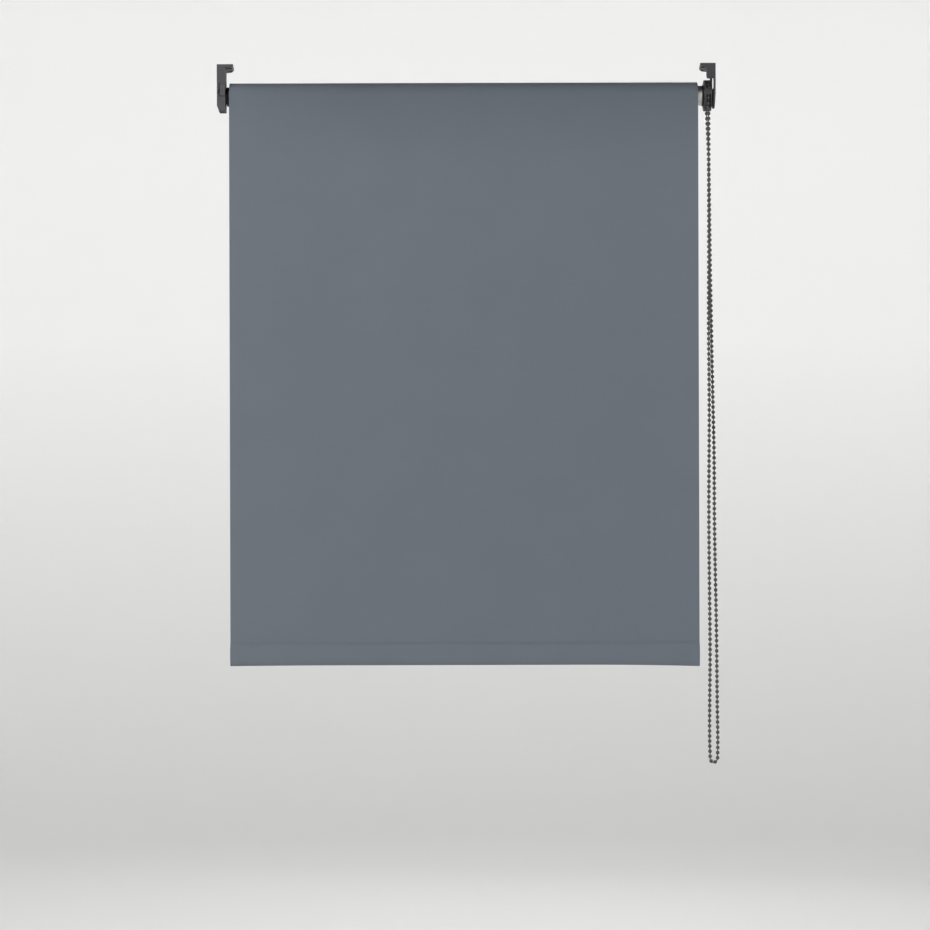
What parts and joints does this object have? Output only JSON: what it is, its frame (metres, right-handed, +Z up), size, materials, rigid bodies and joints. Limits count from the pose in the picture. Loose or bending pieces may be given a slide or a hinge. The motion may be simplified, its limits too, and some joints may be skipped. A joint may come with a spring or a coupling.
{
  "type": "roller blind",
  "caption": "Chain-operated roller blind for a window recess: brackets, tube with fabric wound on it, hanging sheet with a weighted hem bar, and an endless bead chain.",
  "frame": {"origin": "centre of the four ceiling screw holes, on the top faces of the brackets' ceiling flanges", "axes": "+Z up, -Y to the room, +X along the roller towards the chain side"},
  "size_m": [0.5889, 0.045, 0.8233],
  "materials": {
    "bracket_plastic": "fine spark-eroded texture, anthracite",
    "lock_plastic": "moulded, anthracite",
    "black_plastic": "moulded acetal, near black",
    "guard_plastic": "moulded, near black",
    "cap_plastic": "moulded, dark grey",
    "pin_steel": "drawn steel",
    "spring_steel": "oiled spring wire",
    "zinc_steel": "zinc plated",
    "tube_aluminium": "mill finish",
    "bar_aluminium": "mill finish",
    "tape": "double-sided tape",
    "blind_fabric": "close plain-weave coated polyester, slate grey",
    "chain_plastic": "beads moulded on a polyester string, dark grey"
  },
  "bodies": {
    "root": {"left_bracket": "bracket_plastic", "right_bracket": "bracket_plastic", "idle_spring": "spring_steel", "clutch_core": "black_plastic", "guard_inner": "guard_plastic", "guard_outer": "guard_plastic", "clutch_washer": "zinc_steel", "clutch_screw": "zinc_steel", "fabric_drop": "blind_fabric", "ball_chain": "chain_plastic", "chain_over_sprocket": "chain_plastic"},
    "roller": {"roller_tube": "tube_aluminium", "idle_plug": "black_plastic", "drive_adapter": "black_plastic", "chain_sprocket": "black_plastic", "wrap_springs": "spring_steel", "adhesive_strip": "tape", "fabric_roll": "blind_fabric"},
    "bottom_bar": {"bottom_bar": "bar_aluminium", "bar_cap_left": "cap_plastic", "bar_cap_right": "cap_plastic", "fabric_hem": "blind_fabric"},
    "idle_pin": {"idle_pin": "pin_steel"},
    "pin_lock": {"pin_lock": "lock_plastic"}
  },
  "joints": [
    {"name": "roller_turn", "type": "hinge", "parent": "root", "child": "roller", "pos_m": [0, 0, -0.0353], "axis": [-1, 0, 0], "range_deg": [-3240, 2340]},
    {"name": "bar_lift", "type": "slide", "parent": "root", "child": "bottom_bar", "axis": [0, 0, 1], "range_m": [-0.866, 0.625], "deforming": ["fabric_drop"]},
    {"name": "idle_pin_push", "type": "slide", "parent": "root", "child": "idle_pin", "axis": [1, 0, 0], "range_m": [0, 0.007], "stiffness_N_per_m": 700, "springref_m": -0.004, "deforming": ["idle_spring"]},
    {"name": "lock_slide", "type": "slide", "parent": "root", "child": "pin_lock", "axis": [0, 0, 1], "range_m": [0, 0.0075]}
  ],
  "couplings": [
    {"joint": "bar_lift", "follows": "roller_turn", "m_per_rad": 0.0153}
  ]
}
